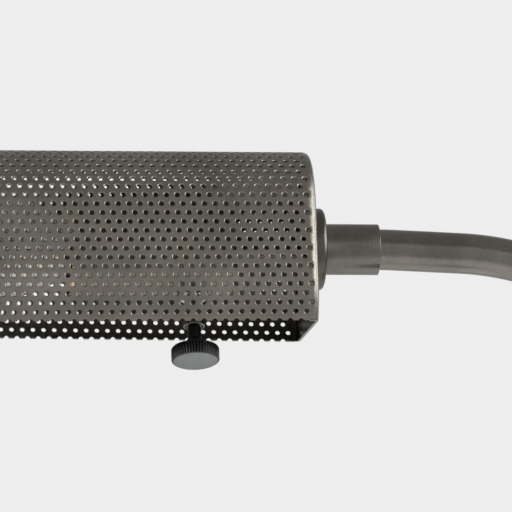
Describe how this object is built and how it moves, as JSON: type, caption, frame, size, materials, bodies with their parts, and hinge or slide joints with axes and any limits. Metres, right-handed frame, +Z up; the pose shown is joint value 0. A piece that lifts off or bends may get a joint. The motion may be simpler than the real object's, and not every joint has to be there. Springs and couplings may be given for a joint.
{
  "type": "task lamp",
  "caption": "Table task lamp with a long perforated metal shade of arched section, open below, on a bent tube arm and a round weighted base, with a turn knob under the shade.",
  "frame": {"origin": "centre of the felt pad's underside, on the table and on the post's axis", "axes": "+Z up, +X from the shade towards the post, -Y the front that the switch knob leans towards"},
  "size_m": [0.5374, 0.203, 0.4853],
  "materials": {
    "shade_metal": "satin gunmetal plate on perforated sheet",
    "gunmetal": "satin gunmetal plate with faint brown tints",
    "pale_gunmetal": "satin gunmetal plate, rubbed lighter",
    "dark_metal": "dark satin plate",
    "bright_rim": "dark plate with a rubbed bright edge",
    "plain_steel": "zinc plated",
    "brass": "satin",
    "phenolic": "moulded",
    "porcelain": "glazed white",
    "clear_glass": "clear",
    "stem_glass": "clear",
    "cast_iron": "black painted",
    "felt": "pressed felt",
    "rubber": "moulded"
  },
  "bodies": {
    "stand": {"base_pad": "felt", "base_weight": "cast_iron", "base_cover": "gunmetal", "cord_grommet": "rubber", "post_collar": "pale_gunmetal", "post_stud": "plain_steel", "post_washer": "plain_steel", "post_nut": "plain_steel", "arm_tube": "gunmetal", "arm_sleeve": "pale_gunmetal", "arm_set_screw": "dark_metal"},
    "head": {"shade_shell": "shade_metal", "hub_end_cap": "pale_gunmetal", "outer_end_cap": "pale_gunmetal", "hub_disc": "gunmetal", "swivel_nipple": "brass", "sleeve_stop_nut": "plain_steel", "sleeve_spring_washer": "plain_steel", "cap_lock_nut": "brass", "spacer_tube": "plain_steel", "socket_husk": "gunmetal", "husk_nut": "brass", "switch_body": "phenolic", "socket_cup": "porcelain", "screw_shell": "brass", "centre_contact": "brass", "switch_bushing": "dark_metal", "husk_ring_nut": "plain_steel", "bushing_collar": "bright_rim"},
    "knob": {"switch_knob": "dark_metal", "switch_spindle": "plain_steel"},
    "bulb_contact": {"bulb_tip": "brass"},
    "bulb": {"bulb_cap": "brass", "bulb_glass": "clear_glass", "bulb_stem": "stem_glass"}
  },
  "joints": [
    {"name": "head_swivel", "type": "hinge", "parent": "stand", "child": "head", "pos_m": [-0.19829, 0, 0.44], "axis": [1, 0, 0], "range_deg": [-150, 150]},
    {"name": "switch_turn", "type": "hinge", "parent": "head", "child": "knob", "pos_m": [-0.26009, 0, 0.44], "axis": [0, -0.2588, -0.9659], "continuous": true},
    {"name": "bulb_travel", "type": "slide", "parent": "head", "child": "bulb_contact", "axis": [-1, 0, 0], "range_m": [0, 0.0218]},
    {"name": "bulb_turn", "type": "hinge", "parent": "bulb_contact", "child": "bulb", "pos_m": [-0.28279, 0, 0.44], "axis": [-1, 0, 0], "range_deg": [0, 2160]}
  ],
  "couplings": [
    {"joint": "bulb_travel", "follows": "bulb_turn", "m_per_rad": 0.00057773}
  ]
}
